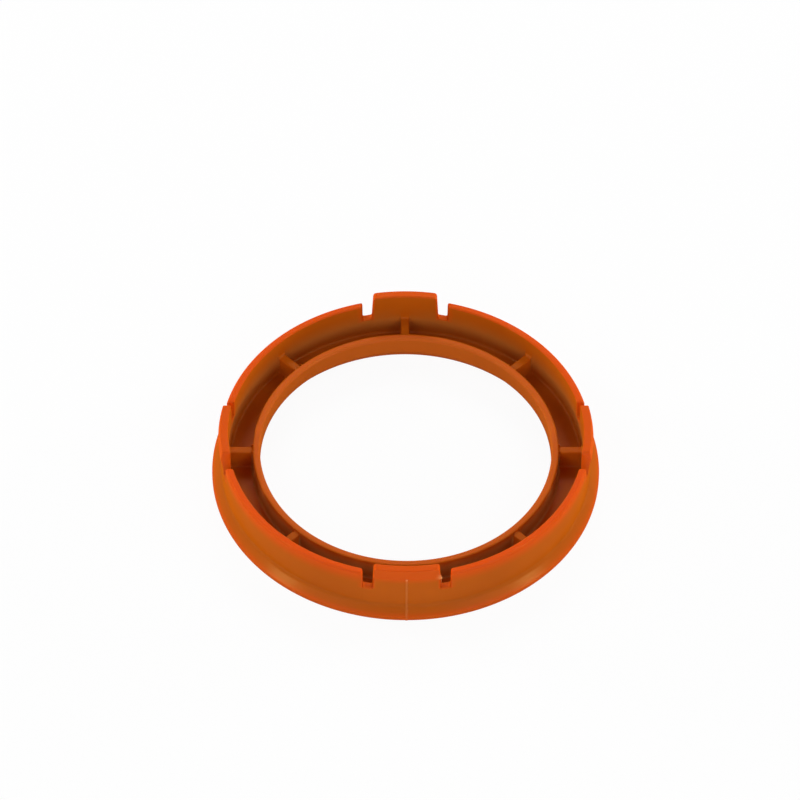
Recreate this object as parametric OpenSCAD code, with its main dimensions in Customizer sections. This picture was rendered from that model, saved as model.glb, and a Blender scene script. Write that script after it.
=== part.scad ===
// Hub centric ring: a one-piece moulded spacer between a car's hub spigot and a wheel's centre bore.
// It stands on its flange face, with the channel and the spring clips upwards.
// The origin is the middle of the flange face, and the ring's axis is Z.

/* [Fits] */
// Outside diameter of the wall that fits the wheel's centre bore
wall_diameter = 72.5; // [60:0.1:90]
// How much smaller the bore's diameter is, which leaves 57.2 for the hub's spigot
bore_step = 15.3; // [12:0.1:30]

/* [Outer wall] */
// Thickness of the outer wall
wall_thickness = 1.45; // [1:0.05:2]
// Height of the outer wall's rim above the flange face
wall_height = 10.7; // [9:0.1:12]
// Width of the chamfer on the rim's outer edge
rim_chamfer = 0.35; // [0.1:0.05:0.6]

/* [Flange] */
// How far the flange stands out past the wall
flange_overhang = 1.85; // [1:0.05:3]
// Height of the flange's upright outer edge
lip_height = 0.9; // [0.5:0.1:1.5]
// Rise of the conical seat from the lip up to the wall
seat_rise = 1.55; // [1:0.05:2.5]
// Radius of the fillet between the conical seat and the wall
seat_fillet = 1.2; // [0.4:0.1:1.6]
// Chamfer on the flange's lower outer edge
flange_chamfer = 0.15; // [0.05:0.05:0.3]

/* [Sleeve] */
// Thickness of the sleeve around the bore
sleeve_thickness = 1.4; // [1:0.05:1.8]
// Height of the sleeve's top above the flange face
sleeve_height = 6.9; // [5.5:0.1:8.5]
// Radius that rounds the bore's upper edge
bore_rounding = 0.4; // [0.2:0.05:0.8]
// Depth of the lead-in cone at the bore's flange end
lead_in_depth = 3.1; // [1.5:0.1:3.5]
// Width of the lead-in cone, measured on the radius
lead_in_width = 2.1; // [1:0.1:2.5]

/* [Channel] */
// Thickness of the floor between the sleeve and the wall
floor_thickness = 2.4; // [2.2:0.1:4]
// Radius of the fillets along both sides of the floor
floor_fillet = 0.5; // [0.2:0.1:0.9]

/* [Ribs] */
// Number of radial ribs across the channel
rib_count = 8; // [4:4:16]
// Thickness of a rib
rib_thickness = 1.6; // [0.8:0.1:2.4]
// Height of a rib's top above the flange face
rib_height = 6.4; // [4.5:0.1:8.5]
// Radius of the fillet between a rib's top and the wall
rib_fillet = 0.5; // [0.3:0.1:1.2]

/* [Spring clips] */
// Number of spring clips cut out of the wall
clip_count = 4; // [2:1:4]
// Width of a clip at its root
clip_width = 13.2; // [8:0.1:16]
// Height of a clip's top above the flange face
clip_height = 12.7; // [12.2:0.1:15]
// How far a clip's catch stands out past the wall
catch_reach = 0.5; // [0.2:0.05:0.8]
// Height of the sloped lead-in above the catch
catch_slope_height = 2; // [1:0.1:3]
// How far the lead-in slopes back from the catch to the clip's top
catch_slope_depth = 0.4; // [0.2:0.05:0.8]
// How much narrower a clip is at each side of its top
clip_taper = 0.25; // [0.05:0.05:0.6]
// Radius that rounds a clip's top corners
clip_corner = 0.6; // [0.2:0.1:1]

/* [Slots] */
// Width of a slot beside a clip
slot_width = 1.9; // [1.2:0.1:3]
// Height of a slot's floor above the flange face
slot_floor = 6.7; // [4.5:0.1:8]
// Radius of the corners at a slot's floor and of the rim's corners beside it
slot_corner = 0.35; // [0.15:0.05:0.5]

/* [Witness lines] */
// Number of mould witness lines, the first in the middle of the front clip
witness_count = 2; // [1:1:4]
// Width of a witness line
witness_width = 0.35; // [0.2:0.05:0.6]
// How far a witness line stands out of the wall
witness_height = 0.08; // [0.05:0.01:0.15]

/* [Hidden] */
$fn = 180;

wall_radius = wall_diameter / 2;
wall_inner_radius = wall_radius - wall_thickness;
bore_radius = (wall_diameter - bore_step) / 2;
sleeve_radius = bore_radius + sleeve_thickness;
flange_radius = wall_radius + flange_overhang;
seat_top = lip_height + seat_rise;
catch_radius = wall_radius + catch_reach;
catch_height = clip_height - catch_slope_height;
clip_half = clip_width / 2;
clip_top_half = clip_half - clip_taper;
window_half = clip_half + slot_width;

// How far joined shapes run into each other
overlap = 0.6;
// How far cuts and masks reach past what they cut
reach_past = 1;

up = [0, 1];
down = [0, -1];
right = [1, 0];
left = [-1, 0];

function unit(v) = v / norm(v);

// The flat shape between a corner and the arc that touches both of its sides:
// added in a hollow corner it is a fillet, and cut from an outer corner it rounds it.
module corner_piece(corner, side_a, side_b, radius) {
    a = unit(side_a);
    b = unit(side_b);
    half_angle = acos(a * b) / 2;
    along = radius / tan(half_angle);
    centre = corner + unit(a + b) * radius / sin(half_angle);
    difference() {
        polygon([corner, corner + a * along, centre, corner + b * along]);
        translate(centre) circle(r = radius);
    }
}

// Half section of the flange, outer wall, floor and sleeve, with the outside moved out by grow
module ring_section(grow = 0) {
    seat_corner = [wall_radius + grow, seat_top];
    lip_corner = [flange_radius + grow, lip_height];
    difference() {
        polygon([
            [bore_radius + lead_in_width, 0],
            [flange_radius + grow - flange_chamfer, 0],
            [flange_radius + grow, flange_chamfer],
            lip_corner,
            seat_corner,
            [wall_radius + grow, wall_height - rim_chamfer],
            [wall_radius + grow - rim_chamfer, wall_height],
            [wall_inner_radius, wall_height],
            [wall_inner_radius, floor_thickness],
            [sleeve_radius, floor_thickness],
            [sleeve_radius, sleeve_height],
            [bore_radius, sleeve_height],
            [bore_radius, lead_in_depth]
        ]);
        corner_piece([bore_radius, sleeve_height], down, right, bore_rounding);
    }
    corner_piece(seat_corner, up, lip_corner - seat_corner, seat_fillet);
    corner_piece([wall_inner_radius, floor_thickness], up, left, floor_fillet);
    corner_piece([sleeve_radius, floor_thickness], up, right, floor_fillet);
}

// Half section of a clip: an upright inside, a face that leans out to the catch, and the lead-in
module clip_section(grow = 0) {
    polygon([
        [wall_inner_radius, slot_floor - overlap],
        [wall_radius + grow, slot_floor - overlap],
        [wall_radius + grow, slot_floor],
        [catch_radius + grow, catch_height],
        [catch_radius + grow - catch_slope_depth, clip_height],
        [wall_inner_radius, clip_height]
    ]);
}

// Front view of the gap in the wall that holds a clip and its two slots
module window_outline() {
    tall = clip_height + reach_past - slot_floor;
    difference() {
        translate([-window_half, slot_floor]) square([2 * window_half, tall]);
        corner_piece([-window_half, slot_floor], up, right, slot_corner);
        corner_piece([window_half, slot_floor], up, left, slot_corner);
    }
    corner_piece([-window_half, wall_height], down, left, slot_corner);
    corner_piece([window_half, wall_height], down, right, slot_corner);
}

// Front view of a clip: sides that draw in to the top, rounded corners, and fillets at the root
module clip_outline() {
    lean = [clip_top_half - clip_half, clip_height - slot_floor];
    difference() {
        polygon([
            [-clip_half, slot_floor - overlap],
            [clip_half, slot_floor - overlap],
            [clip_half, slot_floor],
            [clip_top_half, clip_height],
            [-clip_top_half, clip_height],
            [-clip_half, slot_floor]
        ]);
        for (side = [0, 1]) mirror([side, 0])
            corner_piece([clip_top_half, clip_height], -lean, left, clip_corner);
    }
    for (side = [0, 1]) mirror([side, 0])
        corner_piece([clip_half, slot_floor], lean, right, slot_corner);
}

// Side view of a rib from the sleeve to the wall, with a fillet where its top meets the wall
module rib_outline() {
    inner = sleeve_radius - overlap;
    translate([inner, floor_thickness - overlap])
        square([wall_inner_radius + overlap - inner, rib_height + overlap - floor_thickness]);
    corner_piece([wall_inner_radius, rib_height], up, left, rib_fillet);
    translate([wall_inner_radius, rib_height - overlap]) square([overlap, overlap + rib_fillet]);
}

// Pushes a front view through the wall, on the front side of the ring
module through_wall() {
    depth = flange_radius + reach_past - sleeve_radius;
    translate([0, -sleeve_radius, 0])
        rotate([90, 0, 0])
            linear_extrude(height = depth) children();
}

// Sets copies of its children evenly around the axis
module around(count) {
    for (i = [0 : count - 1]) rotate([0, 0, i * 360 / count]) children();
}

module slotted_ring() {
    difference() {
        rotate_extrude() ring_section();
        around(clip_count) through_wall() window_outline();
    }
}

module clip() {
    intersection() {
        rotate_extrude() clip_section();
        through_wall() clip_outline();
    }
}

module rib() {
    translate([0, rib_thickness / 2, 0])
        rotate([90, 0, 0])
            linear_extrude(height = rib_thickness) rib_outline();
}

// A narrow strip of the outside, moved out a little, from the flange's edge up to the catch
module witness_line() {
    inner = wall_radius - wall_thickness / 2;
    outer = flange_radius + reach_past;
    intersection() {
        rotate_extrude() {
            ring_section(grow = witness_height);
            clip_section(grow = witness_height);
        }
        translate([-witness_width / 2, -outer, 0])
            cube([witness_width, outer - inner, catch_height]);
    }
}

module hub_ring() {
    color("#be5a15") union() {
        slotted_ring();
        around(clip_count) clip();
        around(rib_count) rib();
        around(witness_count) witness_line();
    }
}

hub_ring();
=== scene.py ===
# The look of an orange moulded hub centric ring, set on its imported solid
import math
import bpy
import numpy as np
from mathutils import Matrix, Vector


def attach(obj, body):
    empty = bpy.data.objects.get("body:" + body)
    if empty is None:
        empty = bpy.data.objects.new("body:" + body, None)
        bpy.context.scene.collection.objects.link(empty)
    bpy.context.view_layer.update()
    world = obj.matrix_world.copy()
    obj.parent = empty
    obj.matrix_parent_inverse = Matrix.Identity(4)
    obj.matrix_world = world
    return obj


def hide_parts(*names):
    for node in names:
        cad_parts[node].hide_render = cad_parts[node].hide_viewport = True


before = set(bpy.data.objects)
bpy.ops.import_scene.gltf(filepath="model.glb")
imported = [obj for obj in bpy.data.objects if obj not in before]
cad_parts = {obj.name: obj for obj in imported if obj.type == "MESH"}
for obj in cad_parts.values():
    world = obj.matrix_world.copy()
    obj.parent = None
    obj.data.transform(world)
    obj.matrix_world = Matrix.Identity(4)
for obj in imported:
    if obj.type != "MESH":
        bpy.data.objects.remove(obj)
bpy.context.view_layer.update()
print("frame loaded:", sorted(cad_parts))

millimetre = 0.001


def linearColour(hexColour):
    # each sRGB channel c becomes c / 12.92 below 0.04045, else ((c + 0.055) / 1.055) ** 2.4
    channels = [int(hexColour[i:i + 2], 16) / 255 for i in (1, 3, 5)]
    return [c / 12.92 if c <= 0.04045 else ((c + 0.055) / 1.055) ** 2.4 for c in channels] + [1.0]


# the moulding, in millimetres: heights are above the flange face, which lies at z = 0
moulding = dict(
    wallRadius=36.25, wallThickness=1.45, rimHeight=10.7, rimChamfer=0.35,
    flangeRadius=38.1, lipHeight=0.9, seatTop=2.45, seatFillet=1.2,
    boreRadius=28.6, sleeveRadius=30.0, sleeveHeight=6.9, boreRounding=0.4,
    leadInDepth=3.1, leadInWidth=2.1, floorHeight=2.4, floorFillet=0.5,
    ribHalf=0.8, ribHeight=6.4, ribFillet=0.5, ribEdge=0.2, ribRoot=0.3,
    clipHalf=6.6, clipHeight=12.7, clipCorner=0.6, clipTaper=0.25,
    catchReach=0.5, catchHeight=10.7, catchSlope=0.4,
    slotFloor=6.7, windowHalf=8.5, slotCorner=0.35,
    edgeRound=0.2,          # how far a mould polishes its own edges round
)
# radii of its lesser edges
lesserRadii = dict(
    leadIn=0.15, heel=0.18, slotShoulder=0.1, slotBrow=0.12, clipBrow=0.25, wallBrow=0.18,
    slotCrown=0.15, crown=0.22, ribToSleeve=0.2, boreFoot=0.3,
)
# the raised line where the mould's two slides meet
witness = dict(halfWidth=0.17, softness=0.08, height=0.08)
# the flash at one end of the front catch
burr = dict(place=(6.42, -36.2, 10.8), reach=0.4, push=(0.55, -0.3, 0.0))

wallKind, slotKind, clipKind = 0, 1, 2
# where the grid's columns lie, in millimetres from the middle of a clip or rib, or off the side of one
gridColumns = dict(
    strip=(0.0, 0.1, 0.17, 0.25, 0.4),          # over a witness line, and over a rib's top
    hair=0.015, gap=0.03, flank=0.045, foot=0.06,       # small steps that keep a side sharp
    sideDrop=0.05,          # how much lower a side's last column ends
    clipFirst=1.4, clipLast=5.7, clipStep=0.52,         # over a clip's plain middle
    slotPlain=0.75,         # from a slot's side to the plain part of its floor
    sideTone=0.6,           # width of the edge colour on a side
    plain=19,               # how many lie between a window and the next rib
)
# where the rows lie that only the grid needs, in millimetres
gridRows = dict(
    belowSlot=0.35,         # from a slot's floor down to where the wall is whole
    slotGuide=0.3, wallGuide=1.2,       # from an upper edge down to the point that gives the face's direction
    enterRise=0.25, enterFall=1.1, enterReach=3.2,      # where the wall's inside starts into the channel
    aboveSlot=0.12, aboveWall=0.45, lowerStep=0.75,     # the rows above and below that start
    eighthLength=28.0,      # of wall from a window to a rib
    sleeveRow=0.4,          # a row on the sleeve's flat top
    upFirst=0.12, upLast=0.985, upRows=7, upPower=1.3,      # up the outside above the slots' floors
    ribFadeWall=0.5, ribFadeSleeve=0.4,     # where the rounding of a rib's upper edges fades out
)


def unit(v):
    return v / np.maximum(np.linalg.norm(v, axis=-1, keepdims=True), 1e-12)


def roundCorner(before, corner, after, radius, steps):
    # an arc that touches both sides of a corner: it starts radius / tan(half angle) before the corner,
    # its centre is radius / sin(half angle) along the bisector, and its points turn evenly from side to side
    sideA, sideB = unit(before - corner), unit(after - corner)
    half = np.arccos(np.clip((sideA * sideB).sum(-1), -1, 1)) / 2
    centre = corner + unit(sideA + sideB) * (radius / np.sin(half))[:, None]
    start = corner + sideA * (radius / np.tan(half))[:, None] - centre
    end = corner + sideB * (radius / np.tan(half))[:, None] - centre
    turn = np.arctan2(start[:, 0] * end[:, 1] - start[:, 1] * end[:, 0], (start * end).sum(-1))
    angle = np.linspace(0, 1, steps)[:, None] * turn[None]
    c, s = np.cos(angle), np.sin(angle)
    arc = np.stack([start[:, 0] * c - start[:, 1] * s, start[:, 0] * s + start[:, 1] * c], -1)
    return arc + centre


def straightRun(first, last, steps, lead=0.12):
    # points between two ends, the outer ones a short lead from each end so that flat faces shade flat,
    # but at most 0.3 of the length
    length = np.linalg.norm(last - first, axis=-1)
    near = np.minimum(lead / np.maximum(length, 1e-9), 0.3)
    share = near + (1 - 2 * near) * np.linspace(0, 1, steps)[:, None] if steps > 1 else 0.5 + 0 * near[None]
    return first + (last - first) * share[..., None]


def softStep(x):
    # 0 below 0, 1 above 1 and 3x^2 - 2x^3 between
    x = np.clip(x, 0, 1)
    return x * x * (3 - 2 * x)


def eighthColumns(m):
    # Columns of the grid over an eighth of the ring, from the middle of a clip to the middle of the next rib.
    # Each is a line across the wall, at a fixed distance from the clip's middle plane, the rib's, or between
    # both. It holds that distance, the wall's top there, and how far edges and root fillets draw its section.
    g = gridColumns
    quarter = np.radians([0, 30, 60, 90])
    ribDistance, ribDrop, ribFlag, rootGrow = [], [], [], []

    def addRib(distance, drop, flag, grow):
        ribDistance.append(distance)
        ribDrop.append(drop)
        ribFlag.append(flag)
        rootGrow.append(grow)

    for d in g["strip"]:
        addRib(d, 0, 1, 0)
    for a in quarter:       # the rib's rounded upper edge
        addRib(m["ribHalf"] - m["ribEdge"] * (1 - math.sin(a)), m["ribEdge"] * (1 - math.cos(a)), 1, 0)
    addRib(m["ribHalf"] + g["hair"], m["ribEdge"] + g["foot"], 1, 0)
    addRib(m["ribHalf"] + g["flank"], 0, 0, m["ribRoot"] + g["foot"])
    for a in quarter:       # the fillet at the rib's root
        addRib(m["ribHalf"] + g["foot"] + m["ribRoot"] * (1 - math.cos(a)), 0, 0,
               m["ribRoot"] * (1 - math.sin(a)))
    rib = np.array([ribDistance, ribDrop, ribFlag, rootGrow])

    def sideColumns(side, corner, inward):
        # a wall's or clip's rounded side: the top falls along the corner's arc, and the edges draw in
        a = np.radians([0, 18, 36, 54, 68, 80])
        distance = corner * (1 - np.sin(a))
        fall = corner * (1 - np.cos(a))
        close = np.clip(m["edgeRound"] - distance, 0, None)
        draw = m["edgeRound"] - np.sqrt(m["edgeRound"] ** 2 - close ** 2)
        distance = np.append(distance, [-g["hair"], -g["gap"]])
        fall = np.append(fall, [corner, corner + g["sideDrop"]])
        draw = np.append(draw, [m["edgeRound"], m["edgeRound"] + g["sideDrop"]])
        near = softStep(1 - distance / g["sideTone"])
        return side - inward * distance, fall, draw, near

    floorAngle = np.radians([0, 22, 45, 67, 90])
    cornerGap = m["slotCorner"] * (1 - np.cos(floorAngle))
    cornerRise = m["slotCorner"] * (1 - np.sin(floorAngle))
    clipSide, windowSide = m["clipHalf"] + g["gap"], m["windowHalf"] - g["gap"]
    clipPlace, clipFall, clipDraw, clipNear = sideColumns(m["clipHalf"] - g["gap"], m["clipCorner"], 1)
    wallPlace, wallFall, wallDraw, wallNear = sideColumns(m["windowHalf"] + g["gap"], m["slotCorner"], -1)
    slotPlace = np.concatenate([
        [clipSide], m["clipHalf"] + g["flank"] + cornerGap,
        [m["clipHalf"] + g["slotPlain"], m["windowHalf"] - g["slotPlain"]],
        m["windowHalf"] - g["flank"] - cornerGap[::-1], [windowSide]])
    slotRise = np.concatenate([[cornerRise[0] + g["sideDrop"]], cornerRise, [0, 0],
                               cornerRise[::-1], [cornerRise[0] + g["sideDrop"]]])
    slotTop = m["slotFloor"] + slotRise
    clipPlain = np.arange(g["clipFirst"], g["clipLast"], g["clipStep"])
    between = np.linspace(0, 1, g["plain"] + 2)[1:-1]
    ribReturn = rib[:, ::-1]

    zeros = np.zeros_like
    names = ("fromClip", "fromRib", "ribShare", "kind", "fall", "draw", "near", "drop", "flag", "grow")
    parts = [
        (rib[0], zeros(rib[0]), 0, clipKind, 0, 0, 0, rib[1], rib[2], rib[3]),
        (clipPlain, zeros(clipPlain), 0, clipKind, 0, 0, 0, 0, 0, 0),
        (clipPlace, zeros(clipPlace), 0, clipKind, clipFall, clipDraw, clipNear, 0, 0, 0),
        (slotPlace, zeros(slotPlace), 0, slotKind, slotTop, 0, 0, 0, 0, 0),
        (wallPlace[::-1], zeros(wallPlace), 0, wallKind,
         wallFall[::-1], wallDraw[::-1], wallNear[::-1], 0, 0, 0),
        (np.full_like(between, wallPlace[0]), np.full_like(between, -rib[0, -1]), between, wallKind,
         0, 0, 0, 0, 0, 0),
        (np.full_like(ribReturn[0], wallPlace[0]), -ribReturn[0], 1, wallKind, 0, 0, 0,
         ribReturn[1], ribReturn[2], ribReturn[3]),
    ]
    columns = {}
    for i, name in enumerate(names):
        blocks = [np.broadcast_to(np.asarray(part[i], float), part[0].shape) for part in parts]
        columns[name] = np.concatenate(blocks)
    return columns


def ringSection(m, col):
    # The half section of the moulding at every column, as one closed line: from the lead-in's lower edge
    # out along the flange face, up the outside, over the wall, through the channel and down the bore.
    # Returns its points, rows by columns by (radius, height), and the slice of rows of each named stretch.
    g, soft = gridRows, lesserRadii
    size = len(col["kind"])
    slot, clip = (col["kind"] == kind for kind in (slotKind, clipKind))
    even = lambda value: np.full(size, float(value))
    spread = lambda value: np.broadcast_to(np.asarray(value, float), size)
    point = lambda r, z: np.stack([spread(r), spread(z)], -1)
    draw, radius, inner = col["draw"], m["wallRadius"], m["wallRadius"] - m["wallThickness"]
    top = np.where(slot, col["fall"], np.where(clip, m["clipHeight"], m["rimHeight"]) - col["fall"])

    leadIn = point(m["boreRadius"] + m["leadInWidth"], 0)
    heel = point(m["flangeRadius"], 0)
    lip = point(m["flangeRadius"], m["lipHeight"])
    seat = point(radius, m["seatTop"])
    slopeBack = m["catchSlope"] * (top - m["catchHeight"]) / (m["clipHeight"] - m["catchHeight"])
    level = point(radius, m["slotFloor"] - np.where(clip, 0, g["belowSlot"]))

    def leanAt(z):
        # a clip's face bends out softly over the lower half of its height t, as t^2 / 0.75,
        # and then runs straight to the catch, as (t - 0.25) / 0.75
        t = np.clip((z - m["slotFloor"]) / (m["catchHeight"] - m["slotFloor"]), 0, 1)
        return m["catchReach"] * np.where(t < 0.5, t * t, t - 0.25) / 0.75

    chamfer = np.where(slot, m["edgeRound"], m["rimChamfer"])
    shoulder = point(radius - draw + np.where(clip, m["catchReach"], 0),
                     np.where(clip, m["catchHeight"], top - chamfer))
    guideHeight = np.where(slot, m["slotFloor"] - g["slotGuide"], m["catchHeight"] - g["wallGuide"])
    guide = point(radius - draw + np.where(clip, leanAt(guideHeight), 0), guideHeight)
    brow = point(radius - draw + np.where(clip, m["catchReach"] - slopeBack, -chamfer), top)
    crown = point(inner + np.where(slot, 0, draw), top)

    # the wall's inside starts into the channel above the ribs' fillets, or below a slot's floor
    away = np.where(col["ribShare"] > 0, (1 - col["ribShare"]) * g["eighthLength"],
                    col["fromClip"] - gridColumns["clipFirst"])
    ribTopHeight = m["ribHeight"] + m["ribFillet"]
    enter = ribTopHeight + g["enterRise"] - g["enterFall"] * softStep(away / g["enterReach"])
    enter = np.where(slot | (draw > 0), m["slotFloor"] - g["belowSlot"], enter)
    above = enter + np.where(slot, g["aboveSlot"], g["aboveWall"])
    insideAbove = point(inner + np.where(slot, 0, draw), above)
    insideEnter = point(inner, enter)
    grow = col["grow"]
    insideLower = point(inner - grow, enter - g["lowerStep"])
    outerCorner = point(inner - grow, m["floorHeight"] + grow)
    innerCorner = point(m["sleeveRadius"] + grow, m["floorHeight"] + grow)
    sleeveEdge = point(m["sleeveRadius"] + grow, m["sleeveHeight"])
    sleeveTop = point(m["sleeveRadius"] - g["sleeveRow"], m["sleeveHeight"])
    boreEdge = point(m["boreRadius"], m["sleeveHeight"])
    boreFoot = point(m["boreRadius"], m["leadInDepth"])

    # the arc at each corner of the section, and over how many rows
    edge = even(m["edgeRound"])
    browRadius = np.where(slot, soft["slotBrow"], np.where(clip, soft["clipBrow"], soft["wallBrow"]))
    arcs = dict(
        leadIn=roundCorner(boreFoot, leadIn, heel, even(soft["leadIn"]), 3),
        heel=roundCorner(leadIn, heel, lip, even(soft["heel"]), 4),
        lip=roundCorner(heel, lip, seat, edge, 5),
        seat=roundCorner(lip, seat, level, even(m["seatFillet"]), 8),
        shoulder=roundCorner(guide, shoulder, brow, np.where(slot, soft["slotShoulder"], edge), 4),
        brow=roundCorner(shoulder, brow, crown, browRadius, 5),
        crown=roundCorner(brow, crown, insideAbove, np.where(slot, soft["slotCrown"], soft["crown"]), 5),
        outerCorner=roundCorner(insideLower, outerCorner, innerCorner, even(m["floorFillet"]), 5),
        innerCorner=roundCorner(outerCorner, innerCorner, sleeveEdge, even(m["floorFillet"]), 5),
        sleeveEdge=roundCorner(innerCorner, sleeveEdge, boreEdge, edge, 5),
        boreEdge=roundCorner(sleeveEdge, boreEdge, boreFoot, even(m["boreRounding"]), 8),
        boreFoot=roundCorner(boreEdge, boreFoot, leadIn, even(soft["boreFoot"]), 3),
    )
    channel = np.concatenate([
        straightRun(insideEnter, insideLower, 2), insideLower[None],
        straightRun(insideLower, arcs["outerCorner"][0], 3), arcs["outerCorner"],
        straightRun(arcs["outerCorner"][-1], arcs["innerCorner"][0], 4), arcs["innerCorner"],
        straightRun(arcs["innerCorner"][-1], arcs["sleeveEdge"][0], 3), arcs["sleeveEdge"]])
    # a rib fills the channel: a quarter round down the wall, its level top, a smaller one up the sleeve
    turn, smallTurn = np.radians(np.linspace(8, 90, 9)), np.radians([10, 40, 70, 90])
    wallFillet, sleeveFillet = m["ribFillet"], soft["ribToSleeve"]
    levelCount, wallLead, sleeveLead = 8, 0.2, 0.1
    rise = (m["sleeveHeight"] - m["edgeRound"] - m["ribHeight"]) * np.array([0.8, 0.93])
    ribR = np.concatenate([
        inner - wallFillet * (1 - np.cos(turn)),
        np.linspace(inner - wallFillet - wallLead, m["sleeveRadius"] + sleeveFillet + sleeveLead, levelCount),
        m["sleeveRadius"] + sleeveFillet * (1 - np.sin(smallTurn)), np.full(len(rise), m["sleeveRadius"])])
    ribZ = m["ribHeight"] + np.concatenate([
        wallFillet * (1 - np.sin(turn)), np.zeros(levelCount), sleeveFillet * (1 - np.cos(smallTurn)), rise])
    # the rounding of its upper edges fades out by a soft step at the wall and at the sleeve
    fade = softStep((inner - ribR) / g["ribFadeWall"])
    fade *= softStep((ribR - m["sleeveRadius"]) / g["ribFadeSleeve"])
    ribDrop = fade[:, None] * col["drop"][None]
    ribTop = np.stack(np.broadcast_arrays(ribR[:, None], ribZ[:, None] - ribDrop), -1)
    ribTop = np.concatenate([ribTop, arcs["sleeveEdge"]])
    channel = np.where(col["flag"][None, :, None] > 0, ribTop, channel)

    # the outside above the slots' floors, at shares of its height that are an even count to a power,
    # so that the foot is finest
    share = (np.linspace(g["upFirst"], 1, g["upRows"]) ** g["upPower"])[:, None] * g["upLast"]
    foot, shoulderFoot = level[None, :, 1], arcs["shoulder"][0][None, :, 1]
    upZ = foot + (shoulderFoot - foot) * share
    upR = radius - draw + np.where(clip, leanAt(upZ), 0)
    upperWall = np.stack(np.broadcast_arrays(upR, upZ), -1)

    between = lambda first, last, steps, lead=0.12: straightRun(arcs[first][-1], arcs[last][0], steps, lead)
    stretches = [
        ("leadInEdge", arcs["leadIn"]), ("face", between("leadIn", "heel", 4)),
        ("heel", arcs["heel"]), ("lipSide", between("heel", "lip", 2, 0.06)),
        ("lip", arcs["lip"]), ("cone", between("lip", "seat", 3)),
        ("seat", arcs["seat"]), ("lowerWall", straightRun(arcs["seat"][-1], level, 3)),
        ("level", level[None]), ("upperWall", upperWall),
        ("shoulder", arcs["shoulder"]), ("slope", between("shoulder", "brow", 3, 0.06)),
        ("brow", arcs["brow"]), ("top", between("brow", "crown", 3, 0.08)),
        ("crown", arcs["crown"]), ("insideWall", straightRun(arcs["crown"][-1], insideAbove, 3)),
        ("insideAbove", insideAbove[None]), ("insideEnter", insideEnter[None]), ("channel", channel),
        ("sleeveTop", sleeveTop[None]), ("sleeveFlat", straightRun(sleeveTop, arcs["boreEdge"][0], 2)),
        ("boreEdge", arcs["boreEdge"]), ("bore", between("boreEdge", "boreFoot", 3)),
        ("boreFoot", arcs["boreFoot"]), ("leadInCone", between("boreFoot", "leadIn", 3)),
    ]
    rows, count = {}, 0
    for name, block in stretches:
        rows[name] = slice(count, count + len(block))
        count += len(block)
    return np.concatenate([block for _, block in stretches]), rows


def ringGrid(m):
    # The angle of a point at radius r is asin(distance / r) from the clip's middle, the same from the rib's,
    # or a weighted mean of the two. The eighth is mirrored about the rib and repeated four times.
    col = eighthColumns(m)
    section, rows = ringSection(m, col)
    r, z = section[..., 0], section[..., 1]
    taper = np.where(col["kind"] == clipKind, m["clipTaper"] / m["clipHalf"], 0)
    rise = np.clip((z - m["slotFloor"]) / (m["clipHeight"] - m["slotFloor"]), 0, 1)
    fromClip = np.arcsin(col["fromClip"] * (1 - taper * rise) / r)
    fromRib = math.pi / 4 + np.arcsin(col["fromRib"] / r)
    angle = (1 - col["ribShare"]) * fromClip + col["ribShare"] * fromRib
    turns = []
    for quarter in range(4):
        turns += [angle[:, :-1] + quarter * math.pi / 2, (quarter + 1) * math.pi / 2 - angle[:, :0:-1]]
    repeat = lambda a: np.concatenate([a[:, :-1], a[:, :0:-1]] * 4, 1)
    angle, r, z = np.concatenate(turns, 1), repeat(r), repeat(z)
    # the first clip's middle faces -Y, and angles run towards +X
    place = np.stack([r * np.sin(angle), -r * np.cos(angle), z], -1)
    column = dict(kind=repeat(col["kind"][None])[0], sideEdge=repeat(col["near"][None])[0],
                  rib=repeat(col["flag"][None])[0])
    return place, rows, column


def closedGridFaces(rowCount, columnCount):
    # four corners of each cell, where the last row and column join the first
    row, column = np.meshgrid(np.arange(rowCount), np.arange(columnCount), indexing="ij")
    nextRow, nextColumn = (row + 1) % rowCount, (column + 1) % columnCount
    corner = lambda a, b: a * columnCount + b
    return np.stack([corner(row, column), corner(row, nextColumn),
                     corner(nextRow, nextColumn), corner(nextRow, column)], -1).reshape(-1, 4)


# share of the painted edge highlight on each stretch of the section
edgeHighlightRows = dict(
    heel=0.3, lipSide=0.35, lip=0.5, brow=0.9, top=0.95, crown=0.7,
    sleeveTop=0.35, sleeveFlat=0.35, boreEdge=0.2, leadInEdge=0.3,
)
# how the painted edge highlight fades down the outside, on the clips' tops, sides, slots and cone
edgeHighlightFade = dict(
    wall=(7.2, 10.9, 0.8), clip=(8.8, 11.0, 0.62),      # heights of its foot and full share, and that share
    clipTop=0.8, side=0.7, slot=0.35, cone=0.5, coneSpan=0.8,
)
# where the channel's painted shade tone lies
channelShadeFade = dict(
    sleeveFoot=5.3, sleeveSpan=1.6,                     # height where it starts to fade, and over how much
    wallMiddle=5.0, wallSpread=2.0, wallMost=0.28,
    floorStart=0.05, floorSpan=0.6,                     # how far off the sleeve the floor's fade lies
)
# where the crease's painted shade lies
creaseShadeFade = dict(rise=0.1, spread=0.5)                 # above the seat's corner
# pale shares of the mould marks, and of the sleeve top's painted highlight
paleShares = dict(line=0.15, lineEnd=0.4, endHeight=10.2, endSpan=0.3, sleeveTop=0.05)


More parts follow.
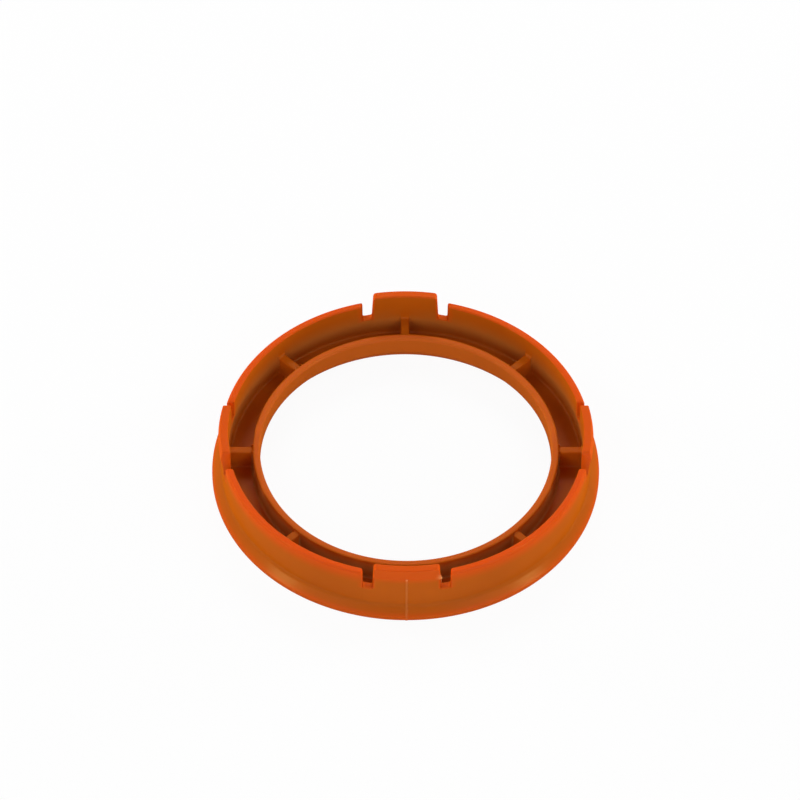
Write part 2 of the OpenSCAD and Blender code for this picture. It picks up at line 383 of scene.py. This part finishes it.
def edgeHighlightShare(m, place, rows, column):
    # How much painted highlight each vertex carries, 0 to 1, for the brighter and redder edges. Each stretch
    # has its share. Down the outside it fades as a soft step from the full height to the foot, so the upper
    # wall is painted lighter, and up the cone over coneSpan; a side's edge holds at least its own share, and
    # slots hold theirs.
    highlight = np.zeros(place.shape[:2])
    for name, amount in edgeHighlightRows.items():
        highlight[rows[name]] = amount
    upCone = (place[rows["cone"]][..., 2] - m["lipHeight"]) / edgeHighlightFade["coneSpan"]
    highlight[rows["cone"]] = edgeHighlightFade["cone"] * (1 - softStep(upCone))
    outside = slice(rows["level"].start, rows["brow"].start)
    clip = column["kind"] == clipKind
    foot, full, most = (np.where(clip, c, w) for c, w in zip(edgeHighlightFade["clip"], edgeHighlightFade["wall"]))
    highlight[outside] = most * softStep((place[outside][..., 2] - foot) / (full - foot))
    brim = slice(rows["brow"].start, rows["crown"].stop)
    highlight[brim] *= np.where(clip, edgeHighlightFade["clipTop"], 1)
    upper = slice(rows["upperWall"].start, rows["insideAbove"].stop)
    highlight[upper] = np.maximum(highlight[upper], column["sideEdge"] * edgeHighlightFade["side"])
    highlight[upper] = np.where(column["kind"] == slotKind, edgeHighlightFade["slot"], highlight[upper])
    return highlight


def channelShadeShare(m, place, rows, column):
    # How much painted shade tone the channel carries, 0 to 1: on the sleeve's side 1 - softStep((z -
    # sleeveFoot) / sleeveSpan), and on the wall's side wallMost exp(-((z - wallMiddle) / wallSpread)^2). The
    # first fades into the second over the floor by a soft step, and the ribs' tops hold none of it.
    f = channelShadeFade
    share = np.zeros(place.shape[:2])
    inside = slice(rows["insideWall"].start, rows["channel"].stop)
    x, y, z = (place[inside][..., axis] for axis in range(3))
    nearSleeve = 1 - softStep((np.hypot(x, y) - m["sleeveRadius"] - f["floorStart"]) / f["floorSpan"])
    sleeveSide = 1 - softStep((z - f["sleeveFoot"]) / f["sleeveSpan"])
    wallSide = f["wallMost"] * np.exp(-((z - f["wallMiddle"]) / f["wallSpread"]) ** 2)
    share[inside] = (nearSleeve * sleeveSide + (1 - nearSleeve) * wallSide) * (1 - column["rib"])
    return share


def creaseShadeShare(m, place, rows):
    # painted shade in the hollow between the flange's cone and the wall, exp(-((z - seatTop - rise) /
    # spread)^2)
    share = np.zeros(place.shape[:2])
    hollow = slice(rows["cone"].start, rows["level"].start)
    above = place[hollow][..., 2] - m["seatTop"] - creaseShadeFade["rise"]
    share[hollow] = np.exp(-(above / creaseShadeFade["spread"]) ** 2)
    return share


def addMouldMarksAndTopHighlight(place, rows):
    # The witness line stands out of the outside of the front and back clips by a soft-edged step, and the
    # burr is a push along its own direction, times exp(-(distance / reach)^2). Returns a pale share: most at
    # the burr, some at the line's upper end and little along the line, and on the sleeve's top a painted
    # highlight.
    p = paleShares
    outside = slice(rows["heel"].start, rows["slope"].start)
    skin = place[outside]
    strip = softStep((witness["halfWidth"] - np.abs(skin[..., 0])) / witness["softness"] + 1)
    outward = skin * [1, 1, 0] / np.linalg.norm(skin[..., :2], axis=-1, keepdims=True)
    place[outside] = skin + outward * (strip * witness["height"])[..., None]
    pale = np.zeros(place.shape[:2])
    lineEnd = softStep((skin[..., 2] - p["endHeight"]) / p["endSpan"])
    pale[outside] = strip * (p["line"] + p["lineEnd"] * lineEnd)
    # the sleeve's top and bore edge get the pale colour as a painted highlight
    pale[rows["sleeveTop"].start:rows["boreEdge"].stop] = p["sleeveTop"]
    around = slice(rows["upperWall"].start, rows["crown"].stop)
    distance = np.linalg.norm(place[around] - np.array(burr["place"]), axis=-1)
    bump = np.exp(-(distance / burr["reach"]) ** 2)
    place[around] += bump[..., None] * np.array(burr["push"])
    pale[around] = np.maximum(pale[around], bump)
    return pale


def makeRing():
    m = moulding
    place, rows, column = ringGrid(m)
    # the edges' painted highlight, the channel's painted shade tone, the crease's painted shade, and the pale
    # marks with the sleeve top's painted highlight
    tones = dict(
        edgeHighlight=edgeHighlightShare(m, place, rows, column), channelShadeTone=channelShadeShare(m, place, rows, column),
        creaseShadeTone=creaseShadeShare(m, place, rows), paleMarkAndHighlight=addMouldMarksAndTopHighlight(place, rows),
    )
    rowCount, columnCount = place.shape[:2]
    faces = closedGridFaces(rowCount, columnCount)
    points = place.reshape(-1, 3) * millimetre
    # six times the volume, as the sum of a . (b x c) over the cells' two triangles: negative means inside out
    a, b, c, d = (points[faces[:, i]] for i in range(4))
    volume = (np.einsum("ij,ij->i", a, np.cross(b, c)) + np.einsum("ij,ij->i", a, np.cross(c, d))).sum() / 6
    if volume < 0:
        faces = faces[:, ::-1]
    mesh = bpy.data.meshes.new("ringMoulding")
    mesh.from_pydata(points, [], faces)
    mesh.polygons.foreach_set("use_smooth", np.ones(len(faces), bool))
    for name, share in tones.items():
        tone = mesh.attributes.new(name, "FLOAT", "POINT")
        tone.data.foreach_set("value", share.ravel().astype(np.float32))
    mesh.validate()
    piece = bpy.data.objects.new("ring_moulding", mesh)
    bpy.context.scene.collection.objects.link(piece)
    print("ring:", rowCount, "rows,", columnCount, "columns,", 2 * len(faces), "triangles, volume",
          round(abs(volume) / millimetre ** 3, 1), "mm3")
    return piece


def addNode(tree, kind, links=None, **settings):
    # one node with its settings; links maps an input's name or number to a value, or to another node's socket
    node = tree.nodes.new(kind)
    for name, value in settings.items():
        setattr(node, name, value)
    for name, value in (links or {}).items():
        if isinstance(value, bpy.types.NodeSocket):
            tree.links.new(value, node.inputs[name])
        else:
            node.inputs[name].default_value = value
    return node


def toneShare(tree, name):
    # the ring's tone of that name, 0 to 1
    return addNode(tree, "ShaderNodeAttribute", attribute_name=name).outputs["Fac"]


def mixColours(tree, share, first, second):
    # the first colour where the share is 0 and the second where it is 1
    colourA, colourB, result = 6, 7, 2      # the sockets of a Mix node that hold colours
    node = addNode(tree, "ShaderNodeMix", {"Factor": share, colourA: first, colourB: second},
                   data_type="RGBA")
    return node.outputs[result]


# Moulded ABS with an orange colourant: opaque, satin from a fine spark-eroded mould, with redder, brighter
# edges that are a painted highlight, painted shade in the channel and the flange's crease, and a soft pale
# sheen on the flange
mouldedAbs = dict(
    body="#C25E0E", shade="#B8570C",        # the two ends of its slow streaks
    # the edge colour is a painted highlight, the channel colour a painted shade tone and the crease colour a
    # painted shade; the pale colour serves the mould marks and a painted highlight on the sleeve's top
    edge="#E2500E", channel="#B4844A", creaseShade="#7A4408", pale="#F0A060", creaseShadeShare=0.18,
    roughness=(0.38, 0.47), ior=1.53, gloss=0.0,
    polish=0.02, polishRoughness=0.2, polishIor=4.0,
    sheen=0.05, sheenRoughness=0.4, sheenColour="#FF7A28",
    glow=0.06, glowRadius=(1.0, 0.3, 0.1), glowScale=0.6,       # mm; light that gets under its skin
    grain=0.35,         # mm; real spark-eroded grain is about 0.05, too fine to show at this size
    grainDepth=0.004,   # mm
    grainDetail=2.0, grainRoughness=0.6, grainStrength=0.5,
    cloud=9.0,          # mm; slow streaks of colourant
    cloudDetail=3.0, cloudRoughness=0.5,
)


def makeMouldedAbs():
    s = mouldedAbs
    material = bpy.data.materials.new("mouldedAbs")
    material.use_nodes = True
    tree = material.node_tree
    tree.nodes.clear()
    where = addNode(tree, "ShaderNodeTexCoord").outputs["Object"]
    cloud = addNode(tree, "ShaderNodeTexNoise", {
        "Vector": where, "Scale": 1 / (s["cloud"] * millimetre),
        "Detail": s["cloudDetail"], "Roughness": s["cloudRoughness"]}).outputs["Fac"]
    body = mixColours(tree, cloud, linearColour(s["shade"]), linearColour(s["body"]))
    # painted shade in the crease, then the channel's painted shade tone, the edges' painted highlight, and
    # the pale marks with the sleeve top's painted highlight
    hollow = addNode(tree, "ShaderNodeMath", {0: toneShare(tree, "creaseShadeTone"), 1: s["creaseShadeShare"]},
                     operation="MULTIPLY").outputs["Value"]
    colour = mixColours(tree, hollow, body, linearColour(s["creaseShade"]))
    for tone, name in (("channelShadeTone", "channel"), ("edgeHighlight", "edge"), ("paleMarkAndHighlight", "pale")):
        colour = mixColours(tree, toneShare(tree, tone), colour, linearColour(s[name]))
    grain = addNode(tree, "ShaderNodeTexNoise", {
        "Vector": where, "Scale": 1 / (s["grain"] * millimetre),
        "Detail": s["grainDetail"], "Roughness": s["grainRoughness"]})
    bump = addNode(tree, "ShaderNodeBump", {
        "Height": grain.outputs["Fac"], "Strength": s["grainStrength"],
        "Distance": s["grainDepth"] * millimetre})
    rough = addNode(tree, "ShaderNodeMapRange", {
        "Value": cloud, "To Min": s["roughness"][0], "To Max": s["roughness"][1]})
    skin = addNode(tree, "ShaderNodeBsdfPrincipled", {
        "Base Color": colour, "Roughness": rough.outputs["Result"], "Normal": bump.outputs["Normal"],
        "IOR": s["ior"], "Specular IOR Level": s["gloss"],
        "Coat Weight": s["polish"], "Coat Roughness": s["polishRoughness"], "Coat IOR": s["polishIor"],
        "Sheen Weight": s["sheen"], "Sheen Roughness": s["sheenRoughness"],
        "Sheen Tint": linearColour(s["sheenColour"]),
        "Subsurface Weight": s["glow"], "Subsurface Radius": s["glowRadius"],
        "Subsurface Scale": s["glowScale"] * millimetre})
    addNode(tree, "ShaderNodeOutputMaterial", {"Surface": skin.outputs["BSDF"]})
    return material


ring = makeRing()
ring.data.materials.append(makeMouldedAbs())
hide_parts("hub_ring")
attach(ring, "root")
print("ring in place")

# plain table and studio light; the table lies 0.02 mm under the ring, so that their faces don't coincide
studio = dict(floorHalf=1.5, floorLevel=-2e-5, floorColour="#F4F4F4", clearTable=0.94, skyLight=0.08)
boxDistance = 0.9       # metres
# degrees round from the front, one on each side unless straight behind, degrees up, metres across and watts
softboxes = [
    dict(name="fore", around=20, up=20, size=0.45, power=1.4),
    dict(name="side", around=45, up=40, size=0.45, power=1.25),
    dict(name="edge", around=115, up=8, size=0.22, power=4.4),
    dict(name="rear", around=115, up=40, size=0.45, power=1.4),
    dict(name="back", around=180, up=40, size=0.45, power=2.9),
]
# a warm pair that only gloss shows, for the flange's pale sheen
sheenBox = dict(name="sheen", around=72, up=39, size=0.2, power=1.7, colour="#FFE68C")


def seenDirectly(tree):
    # 1 for rays from the camera, and for those seen in gloss or through glass
    path = addNode(tree, "ShaderNodeLightPath")
    gloss = addNode(tree, "ShaderNodeMath", {0: path.outputs["Is Glossy Ray"],
                                             1: path.outputs["Is Transmission Ray"]}, operation="MAXIMUM")
    return addNode(tree, "ShaderNodeMath", {0: path.outputs["Is Camera Ray"], 1: gloss.outputs["Value"]},
                   operation="MAXIMUM").outputs["Value"]


def makeFloor():
    half, z = studio["floorHalf"], studio["floorLevel"]
    corners = [(-half, -half, z), (half, -half, z), (half, half, z), (-half, half, z)]
    mesh = bpy.data.meshes.new("tableTop")
    mesh.from_pydata(corners, [], [(0, 1, 2, 3)])
    floor = bpy.data.objects.new("table_top", mesh)
    bpy.context.scene.collection.objects.link(floor)
    # matt white board, which the eye sees as plain white with a trace of the ring's shadow
    material = bpy.data.materials.new("whiteBoard")
    material.use_nodes = True
    tree = material.node_tree
    tree.nodes.clear()
    board = addNode(tree, "ShaderNodeBsdfDiffuse", {"Color": linearColour(studio["floorColour"])})
    white = addNode(tree, "ShaderNodeEmission", {"Color": linearColour("#FFFFFF"), "Strength": 1.0})
    share = addNode(tree, "ShaderNodeMath", {0: seenDirectly(tree), 1: studio["clearTable"]},
                    operation="MULTIPLY")
    seen = addNode(tree, "ShaderNodeMixShader", {"Fac": share.outputs["Value"], 1: board.outputs["BSDF"],
                                                 2: white.outputs["Emission"]})
    addNode(tree, "ShaderNodeOutputMaterial", {"Surface": seen.outputs["Shader"]})
    mesh.materials.append(material)
    return floor


def makeLight():
    # every lamp lies on a sphere around the ring and faces it; only the warm pair shows in gloss
    world = bpy.data.worlds.new("studio")
    bpy.context.scene.world = world
    world.use_nodes = True
    tree = world.node_tree
    tree.nodes.clear()
    strength = addNode(tree, "ShaderNodeMapRange", {"Value": seenDirectly(tree), "To Min": studio["skyLight"],
                                                    "To Max": 1.0})
    sky = addNode(tree, "ShaderNodeBackground", {"Color": linearColour("#FFFFFF"),
                                                 "Strength": strength.outputs["Result"]})
    addNode(tree, "ShaderNodeOutputWorld", {"Surface": sky.outputs["Background"]})
    for box in softboxes + [sheenBox]:
        sides = ((1, "right"),) if box["around"] == 180 else ((-1, "left"), (1, "right"))
        for side, name in sides:
            light = bpy.data.lights.new(box["name"] + "_" + name, "AREA")
            light.shape, light.size, light.energy = "DISK", box["size"], box["power"]
            light.color = linearColour(box.get("colour", "#FFFFFF"))[:3]
            lamp = bpy.data.objects.new(light.name, light)
            bpy.context.scene.collection.objects.link(lamp)
            a, e = math.radians(box["around"]), math.radians(box["up"])
            direction = Vector((side * math.sin(a) * math.cos(e), -math.cos(a) * math.cos(e), math.sin(e)))
            lamp.visible_glossy = box is sheenBox
            lamp.visible_diffuse = box is not sheenBox
            lamp.location = direction * boxDistance
            lamp.rotation_mode = "QUATERNION"
            lamp.rotation_quaternion = direction.to_track_quat("Z", "Y")


# the photograph's view: the camera round the ring in metres and degrees, and where the ring's origin lies
# in the 800 pixel frame
photoView = dict(distance=1.26516, elevation=49.4, turn=0.5937, roll=0.4494,
                 focalPixels=6420.053, frame=800, sensor=36.0, originAt=(405.61, 470.83), clip=(0.05, 20))


def makeCamera():
    # Aimed at the origin the camera would show it in the middle, so it is turned by the origin's offset:
    # pixels from the middle over the focal length in pixels, rolled back by the camera's roll.
    v = photoView
    e, t, r = (math.radians(v[k]) for k in ("elevation", "turn", "roll"))
    unturn = Matrix.Rotation(-t, 3, "Z")
    back = unturn @ Vector((0, -math.cos(e), math.sin(e)))
    right = unturn @ Vector((1, 0, 0))
    up = back.cross(right)
    offset = [(v["frame"] / 2 - c) / v["focalPixels"] for c in v["originAt"]]
    across = offset[0] * math.cos(r) + offset[1] * math.sin(r)
    down = -offset[0] * math.sin(r) + offset[1] * math.cos(r)
    aim = (-back + right * across - up * down).normalized()
    side = aim.cross(up * math.cos(r) - right * math.sin(r)).normalized()
    camera = bpy.data.objects.new("photo_view", bpy.data.cameras.new("photo_view"))
    bpy.context.scene.collection.objects.link(camera)
    camera.matrix_world = Matrix((side, side.cross(aim), -aim)).transposed().to_4x4()
    camera.location = back * v["distance"]
    camera.data.sensor_width = v["sensor"]
    camera.data.lens = v["focalPixels"] / v["frame"] * v["sensor"]
    camera.data.clip_start, camera.data.clip_end = v["clip"]
    bpy.context.scene.camera = camera


makeFloor()
makeLight()
makeCamera()
bpy.context.scene.view_settings.view_transform = "Standard"
print("table, light and camera set")
